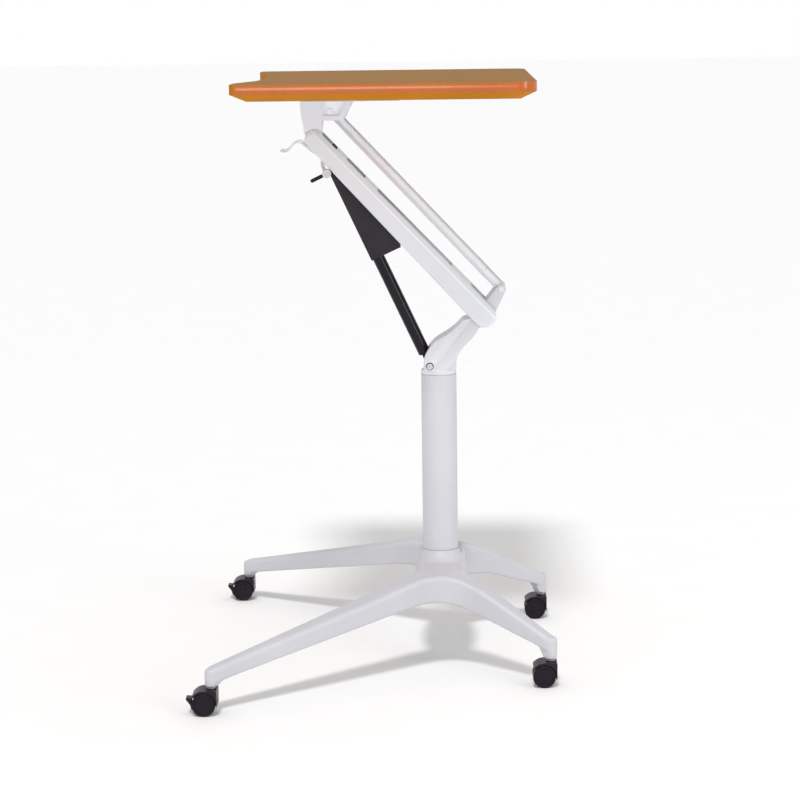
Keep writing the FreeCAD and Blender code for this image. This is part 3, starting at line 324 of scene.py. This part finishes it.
def refined(node, radius, segments=3, limit=28.0, extra=()):
    """A copy of a CAD node with its hard edges softened to a small radius."""
    mesh = frame["nodes"][node].data.copy()
    mesh.name = node + "_soft"
    bm = bmesh.new()
    bm.from_mesh(mesh)
    bmesh.ops.remove_doubles(bm, verts=bm.verts, dist=1e-6)
    bmesh.ops.dissolve_limit(bm, angle_limit=math.radians(0.4), verts=bm.verts, edges=bm.edges)
    bm.to_mesh(mesh)
    bm.free()
    obj = redrawn(node + "_soft", node, mesh)
    for material in extra:
        mesh.materials.append(material)
    bevel = obj.modifiers.new("soft_edges", "BEVEL")
    bevel.width = radius
    bevel.segments = segments
    bevel.limit_method = "ANGLE"
    bevel.angle_limit = math.radians(limit)
    bevel.harden_normals = False
    bevel.use_clamp_overlap = True
    smooth_shaded(mesh, 40)
    weighted = obj.modifiers.new("even_normals", "WEIGHTED_NORMAL")
    weighted.keep_sharp = True
    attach(obj, BODY_OF[node])
    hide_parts(node)
    return obj


def cast(nodes, voxel, rounds):
    """CAD nodes copied as one casting, with flowing, evenly rounded edges."""
    node = nodes[0]
    mesh = bpy.data.meshes.new(node + "_cast")
    bm = bmesh.new()
    for part in nodes:
        bm.from_mesh(frame["nodes"][part].data)
    bm.to_mesh(mesh)
    bm.free()
    obj = redrawn(node + "_cast", node, mesh)
    remesh = obj.modifiers.new("even_skin", "REMESH")
    remesh.mode = "VOXEL"
    remesh.voxel_size = voxel
    remesh.use_smooth_shade = True
    soften = obj.modifiers.new("soft_edges", "SMOOTH")
    soften.factor = 0.5
    soften.iterations = rounds
    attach(obj, BODY_OF[node])
    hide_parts(*nodes)


def cad_finishes():
    """Each CAD node gets its finish, whether or not a piece takes its place later."""
    for name, node in frame["nodes"].items():
        node.data.materials.clear()
        node.data.materials.append(finish_of(name))
        smooth_shaded(node.data, 30)


def table_bracket():
    bracket = refined("table_bracket", 0.0010, extra=(PANEL_PAINTED_LIGHT,))
    for polygon in bracket.data.polygons:
        # Recessed panel faces take the lighter white: a painted highlight.
        recessed = abs(abs(polygon.center.x) - PANEL_X) < PANEL_SLACK
        if recessed and abs(polygon.normal.x) > 0.9:
            polygon.material_index = 1


def tabletop():
    """The top: laminate above, edging around it and a bevel below."""
    face, band, bevel, front = range(4)
    top = refined("tabletop", 0.0016, 4, 20.0, (EDGE_BAND, UNDER_BEVEL, FRONT_BAND_SHADED))
    for polygon in top.data.polygons:
        if polygon.normal.z > 0.7:
            polygon.material_index = face
        elif polygon.normal.z < -0.2:
            polygon.material_index = bevel
        # Faces turned to the front take the darker, duller edging: painted shade.
        elif polygon.normal.y < -0.3:
            polygon.material_index = front
        else:
            polygon.material_index = band


cad_finishes()
refined("link_channel", 0.0007)
refined("mounting_plate", 0.0010)
refined("release_lever", 0.0008)
refined("arm_channel", 0.0014, 4, 12.0)
cast(("leg_base",), 0.0018, 15)
cast(("column_head", "column_collar"), 0.0010, 2)
for end in ("front", "back"):
    for side in ("right", "left"):
        refined(f"caster_wheels_{end}_{side}", 0.0006).data.materials[0] = TREAD
refined("shroud", 0.0008).data.materials[0] = SHROUD
table_bracket()
tabletop()


# ------------------------------------------------------------------ stage and light

def stage_floor():
    mesh = bpy.data.meshes.new("floor")
    side = 40.0
    corners = [(-side, -side, 0), (side, -side, 0), (side, side, 0), (-side, side, 0)]
    mesh.from_pydata(corners, [], [(0, 1, 2, 3)])
    obj = bpy.data.objects.new("floor", mesh)
    bpy.context.scene.collection.objects.link(obj)
    paint = surface("floor_paint", (0.88, 0.88, 0.88), (0.89, 0.89, 0.89), 0.7, grain=40, height=0.00001)
    mesh.materials.append(paint)


def sun(name, strength, angle, direction):
    data = bpy.data.lights.new(name, "SUN")
    data.energy = strength
    data.angle = math.radians(angle)
    obj = bpy.data.objects.new(name, data)
    obj.rotation_euler = Vector(direction).to_track_quat("-Z", "Y").to_euler()
    bpy.context.scene.collection.objects.link(obj)


def area(name, place, target, size, power):
    data = bpy.data.lights.new(name, "AREA")
    data.shape = "RECTANGLE"
    data.size, data.size_y = size
    data.energy = power
    obj = bpy.data.objects.new(name, data)
    obj.location = place
    obj.rotation_euler = (Vector(target) - Vector(place)).to_track_quat("-Z", "Y").to_euler()
    bpy.context.scene.collection.objects.link(obj)


def studio_world():
    """Bright walls around a dimmer ceiling."""
    world = bpy.data.worlds.new("studio")
    bpy.context.scene.world = world
    world.use_nodes = True
    tree = world.node_tree
    place = tree.nodes.new("ShaderNodeTexCoord")
    split = tree.nodes.new("ShaderNodeSeparateXYZ")
    tree.links.new(place.outputs["Generated"], split.inputs["Vector"])
    tint = ramp(tree, split.outputs["Z"], (WALLS,) * 3, (CEILING,) * 3, (0.16, 0.55))
    tree.links.new(tint, tree.nodes["Background"].inputs["Color"])


stage_floor()
studio_world()
sun("top_light", 1.75, 9, (-0.68, 0.08, -1.0))
area("side_box", (2.6, 2.9, 1.6), (0, 0.1, 0.7), (0.9, 1.9), 26)
area("front_box", (6.0, -0.34, 1.10), (0.36, -0.05, 1.04), (1.25, 0.5), 16)
bpy.context.scene.view_settings.view_transform = "Standard"


# ------------------------------------------------------------------ camera

PICTURE_SIDE = 800.0
SENSOR_WIDTH = 36.0
CAMERA_AT = Vector((4.233, 0.13725, 1.185))
YAW, PITCH, ROLL = math.radians(-1.2935), math.radians(9.6315), math.radians(-0.7391)
FOCAL_PIXELS = 2376.1


def camera():
    """A camera that looks towards -X, turned by yaw and pitch, then rolled about its line of sight."""
    forward = Vector((-math.cos(YAW) * math.cos(PITCH), math.sin(YAW) * math.cos(PITCH), -math.sin(PITCH)))
    right = forward.cross(Vector((0, 0, 1))).normalized()
    up = right.cross(forward)
    turned_right = right * math.cos(ROLL) + up * math.sin(ROLL)
    turned_up = up * math.cos(ROLL) - right * math.sin(ROLL)
    data = bpy.data.cameras.new("camera")
    data.sensor_width = SENSOR_WIDTH
    data.lens = FOCAL_PIXELS / PICTURE_SIDE * SENSOR_WIDTH
    obj = bpy.data.objects.new("camera", data)
    axes = Matrix((turned_right, turned_up, -forward)).transposed()
    obj.matrix_world = Matrix.Translation(CAMERA_AT) @ axes.to_4x4()
    bpy.context.scene.collection.objects.link(obj)
    bpy.context.scene.camera = obj


camera()
